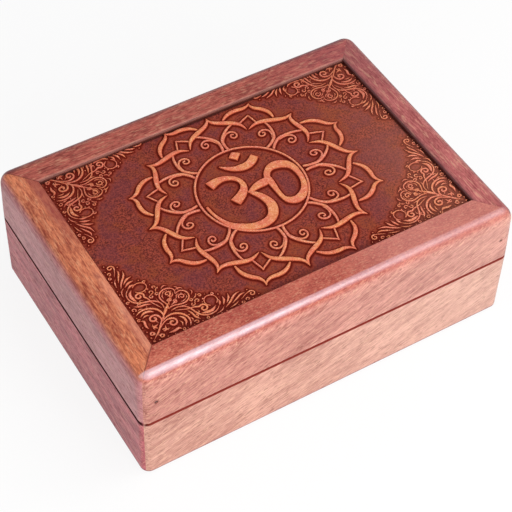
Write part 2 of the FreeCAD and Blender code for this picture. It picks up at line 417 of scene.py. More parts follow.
def frame_wood(name, turn, shift, side, top, figure=0.3, pores=0.6, fine=0.4, pale=0.35,
               streak=1.1, drifts_and_painted_light=()):
    """side and top are each a dark and a light tone, the side's paler with a painted sheen; figure is how mottled, fine
    how hatched.
    """
    finish = Finish(name)
    plain = finish.place()
    grain = finish.place(turn, shift)
    long_grain = stretched(finish, grain, 0.07)
    pore_way = stretched(finish, grain, 0.16)
    ribbons = finish.noise(stretched(finish, grain, 0.2), 0.17, 3.0, 0.55, 0.6)
    fibres = finish.noise(long_grain, 1.8, 3.0, 0.6)
    mottle = finish.noise(stretched(finish, grain, 0.5), 0.45, 4.0, 0.68, 1.0)
    blend = ribbons * (1.0 - figure) + mottle * figure
    crown = finish.step(finish.axis(plain, "Z"), LID_TOP - 3.2, LID_TOP - 0.6)
    fleck = finish.noise(stretched(finish, grain, 0.25), 1.0, 4.0, 0.7) * crown * 0.4
    # The crown is the top of a rail: it takes the top's tones and its tone is pushed deeper, while the sides take paler
    # tones, a painted sheen.
    tone = finish.step(blend * (1.0 - fine) + fibres * fine + fleck - crown * 0.2, 0.34, 0.66)
    deep = finish.mix(crown, side[0], top[0])
    fair = finish.mix(crown, side[1], top[1])
    colour = finish.mix(tone, deep, fair)
    pits = finish.step(finish.noise(pore_way, 2.1, 1.0, 0.4), 0.58, 0.70)
    streaks = finish.step(finish.noise(pore_way, streak, 2.0, 0.6, 0.8), 0.51, 0.68)
    colour = finish.mix(streaks * pale, colour, finish.mix(0.5, fair, tint(250, 214, 170)))
    colour = finish.mix(pits * pores, colour, finish.mix(0.55, deep, tint(70, 24, 18)))
    for drift in drifts_and_painted_light:
        colour = drifted_tone_and_painted_light(finish, colour, plain, crown, *drift)
    seam = seam_line(finish, *(finish.axis(plain, name) for name in "XYZ"))
    colour = joint_lines_and_painted_shade(finish, colour, plain, seam)
    gloss_and_painted_highlight = gloss_and_painted_highlight_band(finish, plain) * (finish.noise(long_grain, 0.5, 3.0) * 1.0 + 0.45)
    gloss_and_painted_highlight = gloss_and_painted_highlight * finish.step(finish.axis(plain, "X"), -70.0, 70.0, 1.05, 0.3)
    # Painted highlight: a pale lavender strip on the front rounding, strongest at the left and fading to the right.
    colour = finish.mix(gloss_and_painted_highlight * 0.5, colour, tint(206, 168, 184))
    # Painted shade, mauve, along the foot of the walls.
    foot = finish.step(finish.axis(plain, "Z"), 0.7, 1.8, 0.62, 0.0)
    colour = finish.mix(foot, colour, tint(126, 84, 98))
    rough = finish.noise(long_grain, 0.6, 2.0) * 0.14 + pits * 0.25 + seam * 0.6 + 0.34
    finish.set(base_color=colour, roughness=rough, specular_ior_level=0.25)
    finish.set(coat_weight=gloss_and_painted_highlight, coat_roughness=0.36, coat_ior=2.3)
    finish.set(normal=finish.bump(fibres * 0.35 - pits, 0.25, 0.0001))
    return finish.material


# Each stick's side tones carry a painted sheen: paler and greyer than its top on the front, back and right rails, mauve
# on the left one; the front and left base walls' single tone is painted the same way.
WOOD_PIECES = {
    "lid_front_rail": (
        (0, 24, 0), (13, 7, 3),
        (tint(152, 88, 78), tint(208, 146, 132)), (tint(150, 57, 46), tint(200, 110, 89)),
        0.22, 0.55, 0.5, 0.4, 1.6,
        (
            # Painted sheen: the front face pales towards the right.
            (False, (("X", -50.0, OUTER_X),), tint(248, 214, 202), 0.12),
            (True, (("X", -66.0, -30.0),), tint(144, 54, 54), 0.2),
            (True, (("X", 0.0, 40.0),), tint(210, 150, 142), 0.3),
        ),
    ),
    "base_front_wall": (
        (0, 20, 0), (71, 29, 41),
        (tint(166, 110, 97), tint(218, 167, 149)), (tint(166, 110, 97), tint(218, 167, 149)),
        # Its one band is a painted sheen: the front face pales towards the right.
        0.22, 0.55, 0.5, 0.4, 1.6, ((False, (("X", -50.0, OUTER_X),), tint(248, 220, 204), 0.17),),
    ),
    "lid_left_rail": (
        (0, 4, 90), (5, 53, 17),
        (tint(160, 96, 100), tint(210, 144, 146)), (tint(138, 54, 38), tint(220, 133, 94)),
        0.5, 0.45, 0.35, 0.3, 1.1,
        (
            (True, (("X", -81.4, -78.8), ("Y", 0.0, 34.0)), tint(138, 54, 54), 0.62),
            (True, (("X", -80.4, -77.6), ("Y", 4.0, -20.0)), tint(222, 150, 130), 0.3),
        ),
    ),
    "base_left_wall": (
        (0, 4, 90), (35, 11, 9),
        (tint(140, 50, 62), tint(212, 117, 123)), (tint(140, 50, 62), tint(212, 117, 123)),
        0.3, 0.5,
    ),
    "lid_back_rail": (
        (0, 6, 0), (91, 3, 77),
        (tint(132, 60, 54), tint(184, 104, 94)), (tint(116, 38, 32), tint(186, 98, 84)),
        0.35, 0.55, 0.4, 0.35, 1.1, (
            (True, (("X", 20.0, OUTER_X),), tint(120, 60, 92), 0.26),
            # Painted highlight: a pale line along the rail's inner edge.
            (True, (("Y", INNER_Y + 1.8, INNER_Y + 0.6),), tint(226, 168, 152), 0.3),
            # Painted shade: a dark line right at the inner edge.
            (True, (("Y", INNER_Y + 0.7, INNER_Y + 0.3),), tint(64, 24, 20), 0.7),
        ),
    ),
    "base_back_wall": (
        (0, 6, 0), (23, 83, 5),
        (tint(156, 84, 70), tint(206, 132, 112)), (tint(156, 84, 70), tint(206, 132, 112)),
        0.3, 0.5,
    ),
    "lid_right_rail": (
        (0, -5, 90), (61, 19, 33),
        (tint(150, 88, 78), tint(206, 140, 126)), (tint(134, 58, 60), tint(192, 110, 106)),
        0.6, 0.45, 0.35, 0.4, 0.8, (
            (True, (("Y", 0.0, 50.0),), tint(112, 56, 62), 0.36),
            # Painted shade: the rail's top darkens towards its inner edge and is darkest right at it.
            (True, (("X", INNER_X + 2.8, INNER_X + 1.2),), tint(96, 52, 56), 0.4),
            (True, (("X", INNER_X + 1.2, INNER_X + 0.5),), tint(52, 18, 18), 0.8),
        ),
    ),
    "base_right_wall": (
        (0, -5, 90), (47, 67, 21),
        (tint(158, 88, 76), tint(208, 136, 118)), (tint(158, 88, 76), tint(208, 136, 118)),
        0.3, 0.5,
    ),
}


def dress(node, material):
    """Gives a construction node a finish through its material slots."""
    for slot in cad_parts[node].material_slots:
        slot.material = material


for node, recipe in WOOD_PIECES.items():
    dress(node, frame_wood(node + "_wood", *recipe))
print("wood on", len(WOOD_PIECES), "sticks")

# %% [markdown]
# The carving is what is left of the panel's first surface after the ground round it was cut
# and burnt away, so every line has the same flat top and steep sides. A line is drawn as a
# smooth curve through a few points, each with its own width, and given a domed section.
# Bending all heights below one level then flattens the tops and keeps rounded shoulders.

# %% The carver's line
PANEL_LOW, PANEL_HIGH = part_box("carved_panel")
GROUND = PANEL_HIGH.z
RELIEF = 0.85
DOME = ((-0.5, -0.12), (-0.49, 0.12), (-0.44, 0.42), (-0.3, 0.68), (0.0, 0.8))
all_lines = []


def line_section():
    """The section of a line one millimetre wide: a dome with a flat foot."""
    data = bpy.data.curves.new("line_section", "CURVE")
    spline = data.splines.new("POLY")
    points = DOME + tuple((-x, y) for x, y in reversed(DOME[:-1]))
    spline.points.add(len(points) - 1)
    for knot, (x, y) in zip(spline.points, points):
        knot.co = (x * MM, y * MM, 0.0, 1.0)
    spline.use_cyclic_u = True
    section = bpy.data.objects.new("line_section", data)
    bpy.context.scene.collection.objects.link(section)
    return section


SECTION = line_section()


def drawn_lines(name, lines, steps):
    """A curve object whose splines pass through the points (x, y, width), in millimetres."""
    data = bpy.data.curves.new(name, "CURVE")
    data.dimensions = "3D"
    data.twist_mode = "Z_UP"
    data.resolution_u = steps
    for line in lines:
        closed = line[0] == line[-1]
        points = line[:-1] if closed else line
        spline = data.splines.new("BEZIER")
        spline.bezier_points.add(len(points) - 1)
        for knot, (x, y, width) in zip(spline.bezier_points, points):
            knot.co = (x * MM, y * MM, 0.0)
            knot.radius = width
            knot.handle_left_type = "AUTO"
            knot.handle_right_type = "AUTO"
        spline.use_cyclic_u = closed
    drawn = bpy.data.objects.new(name, data)
    bpy.context.scene.collection.objects.link(drawn)
    return drawn


def mesh_of(drawn):
    bpy.context.view_layer.update()
    graph = bpy.context.evaluated_depsgraph_get()
    return bpy.data.meshes.new_from_object(drawn.evaluated_get(graph))


def cut_at_rails(shape):
    """Cuts off what would run under the rails, and closes the cuts."""
    for x, y, out in ((1, 0, INNER_X), (-1, 0, INNER_X), (0, 1, INNER_Y), (0, -1, INNER_Y)):
        edge = Vector((x, y, 0.0)) * (out - 0.02) * MM
        everything = shape.verts[:] + shape.edges[:] + shape.faces[:]
        bmesh.ops.bisect_plane(
            shape, geom=everything, plane_co=edge, plane_no=(x, y, 0), clear_outer=True
        )
        bmesh.ops.holes_fill(shape, edges=[e for e in shape.edges if e.is_boundary])


def note_flatness(mesh):
    """Stores how far each point faces up: 1 on a flat top, 0 on a steep side."""
    normals = np.empty(len(mesh.vertices) * 3, np.float32)
    mesh.vertex_normals.foreach_get("vector", normals)
    layer = mesh.attributes.new("facing_up", "FLOAT", "POINT")
    layer.data.foreach_set("value", np.clip(normals[2::3], 0.0, 1.0))


def carve(name, lines, material, steps=4, relief=RELIEF, beads=(), char=0.0):
    """Makes one raised piece of the panel; char is how much wider the ground burnt round it."""
    drawn = drawn_lines(name, lines, steps)
    drawn.data.bevel_mode = "OBJECT"
    drawn.data.bevel_object = SECTION
    drawn.data.use_fill_caps = True
    mesh = mesh_of(drawn)
    shape = bmesh.new()
    for x, y, radius in beads:
        spot = Matrix.Translation((x * MM, y * MM, 0.0))
        size = Matrix.Scale(radius * MM, 4)
        bmesh.ops.create_uvsphere(
            shape, u_segments=10, v_segments=6, radius=1.0, matrix=spot @ size
        )
    shape.from_mesh(mesh)
    bmesh.ops.remove_doubles(shape, verts=shape.verts, dist=1e-7)
    cut_at_rails(shape)
    bmesh.ops.recalc_face_normals(shape, faces=shape.faces)
    level = relief * MM
    for vert in shape.verts:
        if vert.co.z > 0:
            vert.co.z = level * math.tanh(vert.co.z / level)
        vert.co.z += GROUND
    shape.to_mesh(mesh)
    shape.free()
    bpy.data.objects.remove(drawn)
    mesh.polygons.foreach_set("use_smooth", [True] * len(mesh.polygons))
    note_flatness(mesh)
    mesh.set_sharp_from_angle(angle=math.radians(50))
    mesh.materials.clear()
    mesh.materials.append(material)
    piece = bpy.data.objects.new(name, mesh)
    bpy.context.scene.collection.objects.link(piece)
    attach(piece, "lid")
    remember_lines(lines, beads, char)
    triangles = sum(len(p.vertices) - 2 for p in mesh.polygons)
    print(name, len(lines), "lines,", triangles, "triangles, top", round(max(v.co.z for v in mesh.vertices), 5))
    return piece


def remember_lines(lines, beads, char):
    """Keeps circles along every line, so that the ground knows how far the carving is."""
    for line in lines:
        open_ended = line[0] != line[-1]
        gaps = [math.dist(a[:2], b[:2]) for a, b in zip(line, line[1:])]
        run, whole = 0.0, sum(gaps)
        for (x0, y0, w0), (x1, y1, w1), gap in zip(line, line[1:], gaps):
            parts = max(1, int(gap / 0.4))
            for k in range(parts):
                t = k / parts
                slope = math.atan2(abs(w1 - w0) / 2, gap)
                radius = (w0 + (w1 - w0) * t) / 2 * math.cos(slope)
                if open_ended:
                    from_end = min(run + gap * t, whole - run - gap * t)
                    radius = min(radius, from_end + 0.3)
                all_lines.append((x0 + (x1 - x0) * t, y0 + (y1 - y0) * t, radius + char))
            run += gap
    all_lines.extend((x, y, radius + char) for x, y, radius in beads)


print("section", len(SECTION.data.splines[0].points), "points")

# %% [markdown]
# The tops of the lines keep the panel's orange colour. Their sides were cut by a hot tool,
# so they darken towards the ground, and the tops carry a little soot and a few pits. Where
# the tops round over into the sides, a painted shade makes the flat tops read as lit.

# %% The relief's finish


def painted_front_right_sheen(finish, colour, x, y):
    """Paints a paler, pinker sheen over the panel's front right part."""
    right = finish.step(x, 30.0, 72.0) * finish.step(y, 50.0, -40.0, 0.35, 1.0)
    return finish.mix(right * 0.12, colour, tint(236, 166, 136))


def relief_wood(name, first, second, crest, shoulder_shade):
    """first and second are the tones of the tops, crest their brightest spots; the last tone is painted shade on the
    shoulders.
    """
    finish = Finish(name)
    where = finish.place()
    flat = finish.node("ShaderNodeAttribute", {"attribute_name": "facing_up"}, output="Fac")
    soot = finish.noise(where, 1.3, 3.0, 0.65)
    pits = finish.step(finish.noise(where, 2.8, 2.0, 0.6), 0.55, 0.68)
    patch = finish.step(finish.noise(where, 0.16, 3.0, 0.6), 0.38, 0.62)
    warm = finish.mix(patch, first, second)
    colour = finish.mix(finish.step(soot, 0.42, 0.70) * 0.5, warm, tint(188, 90, 58))
    colour = finish.mix(finish.step(soot, 0.34, 0.47, 0.6, 0.0), colour, crest)
    colour = finish.mix(pits * 0.35, colour, tint(130, 54, 36))
    # Painted shade: the shoulders take a darker tone as they tilt away from flat.
    colour = finish.mix(finish.step(flat, 0.70, 0.99, 0.85, 0.0), colour, shoulder_shade)
    colour = finish.mix(finish.step(flat, 0.15, 0.65, 0.9, 0.0), colour, tint(96, 20, 10))
    x, y = (finish.axis(where, name) for name in "XY")
    # Painted sheen over the panel's front right part.
    colour = painted_front_right_sheen(finish, colour, x, y)
    aside = finish.step(abs(x), 44.0, 60.0) * finish.step(y, 0.0, 40.0)
    colour = finish.mix(aside * 0.3, colour, tint(140, 56, 46))
    finish.set(base_color=colour, roughness=pits * 0.2 + 0.5, specular_ior_level=0.12)
    finish.set(normal=finish.bump(soot * 0.4 - pits, 0.4, 0.0001))
    return finish.material


BROAD_WOOD = relief_wood(
    "broad_line_wood", tint(222, 122, 95), tint(226, 146, 98), tint(246, 184, 150), tint(200, 92, 62)
)
LINE_WOOD = relief_wood(
    "fine_line_wood", tint(222, 126, 104), tint(226, 144, 104), tint(248, 188, 160), tint(190, 90, 66)
)
SCROLL_WOOD = relief_wood(
    "scroll_wood", tint(228, 130, 104), tint(230, 142, 96), tint(255, 200, 166), tint(160, 60, 40)
)
print("relief finish ready")

# %% [markdown]
# The flower is an eight-fold lotus: eight petals in front, eight behind, eight heart-shaped
# petals inside with a pair of curls each. One half of one petal is enough: mirrored and
# turned it gives all of them. The whole pattern was laid on the panel by hand, a little
# turned and squeezed, so the finished points go through one small map.

# %% Lay out the flower
FLOWER_CENTRE = (0.23, 3.77)
FLOWER_TURN = math.radians(-2.94)
FLOWER_SQUEEZE = (1.031, 0.973)
FLOWER_DRIFT = (1.53, -2.04)
RING_CENTRE = (0.6, 3.28)
FRONT_PETAL = (
    (0.0, 48.2, 0.3), (0.3, 46.2, 1.1), (1.0, 44.7, 1.6), (2.3, 43.4, 1.9), (4.7, 41.9, 2.2),
    (7.2, 40.6, 2.35), (9.6, 39.2, 2.15), (11.2, 37.8, 1.8), (12.2, 36.2, 1.4), (12.8, 34.6, 0.95),
    (13.3, 33.0, 0.3),
)
HEART_PETAL = (
    (1.5, 24.4, 1.2), (0.95, 26.4, 1.4), (0.8, 28.9, 1.5), (1.0, 31.2, 1.5), (2.2, 33.5, 1.5),
    (4.3, 36.0, 1.4), (6.4, 37.8, 1.25), (8.3, 38.9, 1.0),
)
SMALL_DIAMOND = ((11.8, 38.0, 0.9), (14.6, 39.7, 1.0), (16.6, 40.9, 0.8), (17.25, 41.7, 0.25))
BACK_PETAL = (
    (5.9, 43.0, 0.9), (7.2, 44.2, 1.4), (8.8, 45.4, 1.8), (10.9, 46.2, 2.05), (13.8, 46.5, 2.1),
    (16.3, 46.3, 1.8), (18.0, 46.7, 1.45), (19.3, 47.5, 0.95), (20.2, 48.8, 0.3),
)
PETAL_CURL = (
    (1.35, 30.4, 0.5), (2.9, 33.2, 0.85), (4.7, 34.6, 1.0), (6.6, 34.6, 1.05), (7.9, 33.3, 1.05),
    (8.0, 31.6, 1.0), (6.9, 30.5, 0.95), (5.6, 31.1, 0.9), (5.4, 32.3, 0.9), (6.2, 33.0, 0.9),
    (6.9, 32.4, 1.0),
)


def lay(x, y, width):
    """Takes a point of the true pattern to its place on the panel."""
    c, s = math.cos(FLOWER_TURN), math.sin(FLOWER_TURN)
    pull = (math.hypot(x, y) / 50.0) ** 2
    across = FLOWER_SQUEEZE[0] * (c * x - s * y)
    along = FLOWER_SQUEEZE[1] * (s * x + c * y)
    return (
        FLOWER_CENTRE[0] + across + pull * FLOWER_DRIFT[0],
        FLOWER_CENTRE[1] + along + pull * FLOWER_DRIFT[1],
        width,
    )


def eight_fold(half, first_angle=0.0, mirrored=True):
    """Copies half a petal eight times round, each with its mirror image."""
    lines = []
    for k in range(8):
        turn = math.radians(45 * k + first_angle)
        c, s = math.cos(turn), math.sin(turn)
        for side in (1, -1) if mirrored else (1,):
            lines.append([lay(c * side * x - s * y, s * side * x + c * y, w) for x, y, w in half])
    return lines


def circle(centre, radius, width, points=24):
    angles = [2 * math.pi * k / points for k in range(points)]
    ring = [
        (centre[0] + radius * math.cos(a), centre[1] + radius * math.sin(a), width)
        for a in angles
    ]
    return ring + ring[:1]


carve("lotus_front_petals", eight_fold(FRONT_PETAL), BROAD_WOOD)
carve("lotus_back_petals", eight_fold(BACK_PETAL), BROAD_WOOD)
carve("lotus_heart_petals", eight_fold(HEART_PETAL), LINE_WOOD)
carve("lotus_diamonds", eight_fold(SMALL_DIAMOND), LINE_WOOD)
carve("lotus_curls", eight_fold(PETAL_CURL), LINE_WOOD)
carve("disc_ring", [circle(RING_CENTRE, 24.0, 1.15)], LINE_WOOD)

# %% [markdown]
# The sign in the middle is drawn as a broad pen would write it: each stroke is a line whose
# width swells and thins. The same tool makes it, only with wider points and cut ends.

# %% Write the sign
SIGN_BOWL = (
    (-15.4, 9.3, 5.0), (-11.8, 10.3, 4.0), (-8.6, 10.4, 3.1), (-5.4, 9.3, 2.5), (-3.1, 7.2, 2.3),
    (-2.3, 4.7, 2.5), (-2.9, 1.9, 3.2), (-5.2, -0.8, 4.1), (-8.0, -2.6, 4.6), (-10.3, -3.8, 5.0),
)
SIGN_TAIL = (
    (-2.5, -0.9, 0.8), (-1.5, -2.4, 2.0), (0.3, -5.0, 3.0), (1.7, -8.3, 3.8), (2.2, -11.6, 4.5),
    (1.4, -14.7, 4.7), (-0.6, -17.6, 4.5), (-3.7, -19.3, 4.3), (-7.7, -19.6, 4.2), (-11.7, -18.6, 3.8),
    (-15.0, -16.6, 3.5), (-17.9, -14.0, 2.7), (-19.7, -11.0, 2.0), (-20.9, -7.6, 1.7),
    (-21.7, -4.3, 1.5), (-22.0, -0.3, 1.4),
)
SIGN_ARM = (
    (-2.8, -1.5, 0.8), (-0.4, -1.0, 2.6), (2.6, -0.1, 3.7), (5.3, 0.2, 4.2), (8.0, 0.3, 3.9),
    (9.8, -0.3, 2.8),
)
SIGN_LOOP = (
    (8.4, 0.9, 3.0), (8.9, 2.7, 3.0), (10.3, 4.7, 3.0), (12.6, 6.2, 3.7), (15.6, 6.4, 4.4), (19.0, 5.0, 4.3),
    (21.0, 2.4, 3.5), (21.6, -2.0, 2.7), (21.1, -6.3, 2.5), (19.5, -10.3, 3.0),
    (17.3, -13.0, 3.7), (14.6, -14.6, 4.2), (12.0, -14.7, 4.0), (9.8, -13.5, 3.3),
    (8.6, -11.0, 2.2), (8.4, -7.0, 2.3), (8.5, -3.0, 3.0), (8.6, 0.0, 3.3),
)
SIGN_CRESCENT = (
    (-6.0, 17.2, 0.8), (-3.7, 14.9, 2.0), (-1.0, 13.0, 2.8), (2.0, 12.2, 3.8), (5.0, 12.2, 4.0),
    (8.0, 13.5, 4.0), (10.3, 15.4, 3.8),
)
SIGN_DOT = ((2.9, 16.85, 0.2), (2.9, 19.6, 6.0), (2.9, 22.35, 0.2))


def from_ring(line):
    return [(x + RING_CENTRE[0], y + RING_CENTRE[1], w) for x, y, w in line]


SIGN = [SIGN_BOWL, SIGN_TAIL, SIGN_ARM, SIGN_LOOP, SIGN_CRESCENT, SIGN_DOT]
carve("om_sign", [from_ring(line) for line in SIGN], BROAD_WOOD)

# %% [markdown]
# Scrollwork fills the corners, dense and fine, with curls, beads and long leaves. It is
# nearly the same on both sides of the corner's diagonal, so half of it is drawn and
# mirrored, and the whole corner is then mirrored to the other three. The panel was carved
# before it was framed and sits a little off centre, so the back and right corners slip
# towards their rails, which cut some of the scrolls off.

# %% Draw the corner scrolls


def curl(x, y, start, sweep, radius, end_radius, width, end_width, points=9):
    """A line winding in round (x, y) from radius to end_radius; angles in degrees."""
    line = []
    for k in range(points):
        t = k / (points - 1)
        a = math.radians(start + sweep * t)
        r = radius + (end_radius - radius) * t
        w = width + (end_width - width) * t
        line.append((x + r * math.cos(a), y + r * math.sin(a), w))
    return line


def swelling(points, width, start=0.35, end=0.2):
    """A leaf or tendril through points, thin at both ends and widest in the middle."""
    line = []
    for k, (x, y) in enumerate(points):
        t = k / (len(points) - 1)
        thin = start + (end - start) * t
        line.append((x, y, width * (thin + (1 - thin) * math.sin(math.pi * t) ** 0.8)))
    return line


def tendril(stem, x, y, start, sweep, radius, width):
    """A stem that grows into a curl round (x, y)."""
    grown = [(u, v, width * (0.35 + 0.5 * k / len(stem))) for k, (u, v) in enumerate(stem)]
    return grown + curl(x, y, start, sweep, radius, 0.38, width, width * 0.85, 11)


def small_curl(x, y, start, radius):
    return curl(x, y, start, -330, radius, 0.3, 0.55, 0.55, 8)


BIG_CURLS = [
    tendril([(4.2, 4.4), (7.2, 6.6), (9.6, 8.2), (11.6, 9.0)], 12.9, 6.7, 95, -450, 2.15, 0.95),
    tendril([(16.6, 11.6), (19.0, 10.6), (21.4, 9.6), (24.0, 9.2)], 26.9, 6.9, 130, -440, 2.0, 0.92),
    tendril([(42.0, 3.4), (44.0, 4.4), (45.6, 5.0)], 47.2, 3.9, 110, -400, 1.4, 0.7),
    curl(31.2, 9.0, 300, 305, 2.75, 2.55, 0.5, 0.5, 14),
    curl(22.3, 16.4, 200, -400, 1.45, 0.38, 0.65, 0.6, 10),
    curl(18.7, 15.7, 250, 330, 1.0, 0.35, 0.6, 0.55, 8),
]
SHEATH_LEAVES = [
    swelling([(9.8, 9.2), (12.6, 10.4), (15.6, 10.2), (18.0, 8.6), (19.3, 6.2), (19.2, 3.6),
              (18.2, 1.8)], 1.0, 0.4, 0.3),
    swelling([(15.2, 12.2), (18.6, 12.4), (21.3, 10.9), (22.6, 8.4), (23.5, 5.8), (25.6, 3.6),
              (28.6, 2.9), (31.2, 3.6), (33.0, 5.2)], 0.8, 0.5, 0.4),
    swelling([(14.4, 13.6), (17.2, 13.9), (20.0, 13.2), (22.6, 13.2), (24.8, 15.0), (24.8, 17.8),
              (22.8, 19.4), (20.6, 18.8)], 0.75, 0.6, 0.5),
]
LEAVES = (
    ([(16.4, 8.3), (17.6, 6.6), (17.7, 4.6), (16.6, 2.8)], 1.15),
    ([(15.6, 6.2), (16.1, 4.8), (15.5, 3.2)], 0.75),
    ([(9.2, 3.0), (11.4, 2.6), (13.6, 3.0), (14.8, 2.0)], 1.25),
    ([(9.9, 7.0), (9.2, 5.6), (9.9, 4.2)], 0.8),
    ([(6.4, 7.2), (5.2, 8.6), (5.6, 10.0)], 0.75),
    ([(8.2, 9.4), (7.4, 10.8), (7.9, 12.0)], 0.6),
    ([(24.9, 5.0), (27.0, 4.4), (29.4, 4.3), (31.8, 5.9)], 1.5),
    ([(20.7, 9.2), (21.6, 7.0), (22.0, 4.6), (23.4, 2.8)], 1.0),
    ([(20.0, 5.6), (20.5, 4.4), (20.2, 3.3)], 0.7),
    ([(23.2, 7.4), (24.4, 6.0), (24.3, 7.9)], 0.6),
    ([(29.9, 1.9), (32.6, 2.3), (34.6, 4.0)], 0.7),
    ([(33.0, 5.0), (33.9, 6.4), (34.0, 8.2)], 1.05),
    ([(34.5, 4.5), (35.8, 6.4), (36.2, 8.8)], 1.1),
    ([(36.1, 4.6), (38.0, 6.6), (38.8, 9.0)], 1.05),
    ([(34.6, 2.9), (37.6, 4.4), (40.6, 6.6), (43.6, 7.4)], 0.95),
    ([(38.0, 3.4), (40.8, 4.6), (43.4, 5.7), (45.0, 5.6)], 0.85),
    ([(36.0, 1.9), (38.6, 2.2), (41.0, 3.4)], 0.7),
    ([(15.9, 14.9), (17.0, 17.2), (18.8, 18.0)], 0.8),
    ([(20.6, 14.2), (22.2, 14.2), (23.6, 15.2)], 0.6),
    ([(23.0, 14.6), (24.0, 15.4), (24.2, 16.8)], 0.5),
    ([(19.9, 16.4), (20.6, 17.8), (22.2, 18.4)], 0.65),
    ([(26.0, 15.4), (27.0, 16.6), (26.6, 18.2)], 0.65),
    ([(21.4, 20.6), (23.4, 20.8), (24.8, 19.8)], 0.65),
    ([(25.6, 13.2), (26.8, 13.6), (28.2, 15.0)], 0.6),
    ([(17.6, 12.8), (20.4, 11.9), (22.9, 11.9)], 0.6),
)
SMALL_CURLS = (
    (3.6, 5.4, 200, 1.15), (6.2, 3.1, 20, 1.05), (8.3, 5.0, 150, 0.8), (21.3, 2.2, 160, 1.05),
    (24.2, 10.8, 20, 1.0), (26.6, 11.4, 200, 1.15), (24.5, 13.0, 80, 0.8), (28.6, 13.4, 150, 0.8),
    (22.6, 4.9, 90, 0.8), (33.2, 11.6, 100, 0.7), (41.9, 1.7, 20, 0.75), (44.5, 2.2, 200, 0.9),
    (15.2, 1.6, 90, 0.7), (26.0, 1.9, 100, 0.75),
)
HALF_BEADS = [
    (2.2, 2.2, 0.5), (4.5, 1.8, 0.45), (8.2, 1.7, 0.4), (11.2, 1.3, 0.35), (16.9, 1.5, 0.35),
    (19.8, 1.6, 0.3), (20.3, 7.0, 0.4), (23.6, 1.6, 0.4), (28.2, 1.4, 0.35), (29.4, 7.2, 0.4),
    (28.9, 11.2, 0.5), (28.0, 9.9, 0.35), (32.0, 1.2, 0.35), (34.2, 1.3, 0.35), (39.8, 1.5, 0.35),
    (46.4, 1.6, 0.35), (49.4, 2.3, 0.35), (46.4, 6.6, 0.35), (27.6, 14.6, 0.45), (24.0, 16.8, 0.35),
    (20.4, 17.4, 0.4), (19.8, 20.9, 0.35), (25.8, 12.0, 0.35), (30.6, 12.9, 0.3), (35.3, 10.3, 0.35),
]
CORNER_STEM = [
    swelling([(2.6, 2.8), (6.0, 5.6), (9.4, 9.4), (12.2, 12.2)], 0.75, 0.4, 0.5),
    swelling([(10.6, 10.6), (13.2, 13.2), (16.6, 16.6)], 1.35, 0.3, 0.2),
    swelling([(17.4, 17.4), (18.6, 19.4), (19.4, 22.0)], 0.7),
]
SLIP_X = -1.5
SLIP_Y = -4.7
MIRROR_SQUEEZE = (1.095, 0.913)
BOLDER = 1.12


def whole_corner():
    """Half a corner and its image across the diagonal, which is squeezed as the flower is."""
    half = BIG_CURLS + SHEATH_LEAVES + [swelling(*leaf) for leaf in LEAVES]
    half += [small_curl(*spot) for spot in SMALL_CURLS]
    wide, short = MIRROR_SQUEEZE
    other = [[(y * wide, x * short, w) for x, y, w in line] for line in half]
    lines = [[(x, y, w * BOLDER) for x, y, w in line] for line in half + other + CORNER_STEM]
    dots = HALF_BEADS + [(y * wide, x * short, r) for x, y, r in HALF_BEADS]
    return lines, dots


def all_corners():
    """The corner, mirrored into the panel's four corners."""
    lines, dots = whole_corner()
    for side, east in (("left", -1), ("right", 1)):
        for end, north in (("front", -1), ("back", 1)):
            rail_x = INNER_X - (SLIP_X if east > 0 else 0.0)
            rail_y = INNER_Y - (SLIP_Y if north > 0 else 0.0)

            def settle(x, y, size):
                return east * (rail_x - x), north * (rail_y - y), size

            placed = [[settle(*point) for point in line] for line in lines]
            seen = [line for line in placed if any(on_ground(x, y) for x, y, w in line)]
            spots = [settle(*dot) for dot in dots]
            yield f"{end}_{side}_scrolls", seen, [spot for spot in spots if on_ground(*spot[:2])]


def on_ground(x, y):
    """True where the panel shows between the rails."""
    return abs(x) < INNER_X and abs(y) < INNER_Y


for name, lines, beads in all_corners():
    carve(name, lines, SCROLL_WOOD, 3, 0.7, beads, -0.08)

# %% [markdown]
# The ground was burnt and stippled. It needs to know where the carving is, because the burn
# is darkest right beside each line and turns to a warm brown a little further out. So the
# panel's top is a fine grid, and every grid point stores its distance to the nearest line.

# %% The sunk ground of the panel
CELL = 0.42
SHOWN_X = 182 * CELL
SHOWN_Y = 119 * CELL


def panel_board():
    """A board as large as the construction's panel, its top divided finely where it shows."""
    columns = round(2 * SHOWN_X / CELL)
    rows = round(2 * SHOWN_Y / CELL)
    shape = bmesh.new()
    stretch = Matrix.Diagonal((SHOWN_X * MM, SHOWN_Y * MM, 1.0, 1.0))
    bmesh.ops.create_grid(shape, x_segments=columns, y_segments=rows, size=1.0, matrix=stretch)
    rim = [e for e in shape.edges if e.is_boundary]
    widened = bmesh.ops.extrude_edge_only(shape, edges=rim)["geom"]
    corners = [g for g in widened if isinstance(g, bmesh.types.BMVert)]
    grow_x = PANEL_HIGH.x / (SHOWN_X * MM)
    grow_y = PANEL_HIGH.y / (SHOWN_Y * MM)
    bmesh.ops.scale(shape, vec=(grow_x, grow_y, 1.0), verts=corners)
    rim = [e for e in shape.edges if e.is_boundary]
    dropped = bmesh.ops.extrude_edge_only(shape, edges=rim)["geom"]
    foot = [g for g in dropped if isinstance(g, bmesh.types.BMVert)]
    bmesh.ops.translate(shape, vec=(0, 0, PANEL_LOW.z - PANEL_HIGH.z), verts=foot)
    bmesh.ops.edgeloop_fill(shape, edges=[e for e in shape.edges if e.is_boundary])
    bmesh.ops.translate(shape, vec=(0, 0, GROUND), verts=shape.verts)
    bmesh.ops.recalc_face_normals(shape, faces=shape.faces)
    mesh = bpy.data.meshes.new("sunk_panel")
    shape.to_mesh(mesh)
    shape.free()
    return mesh


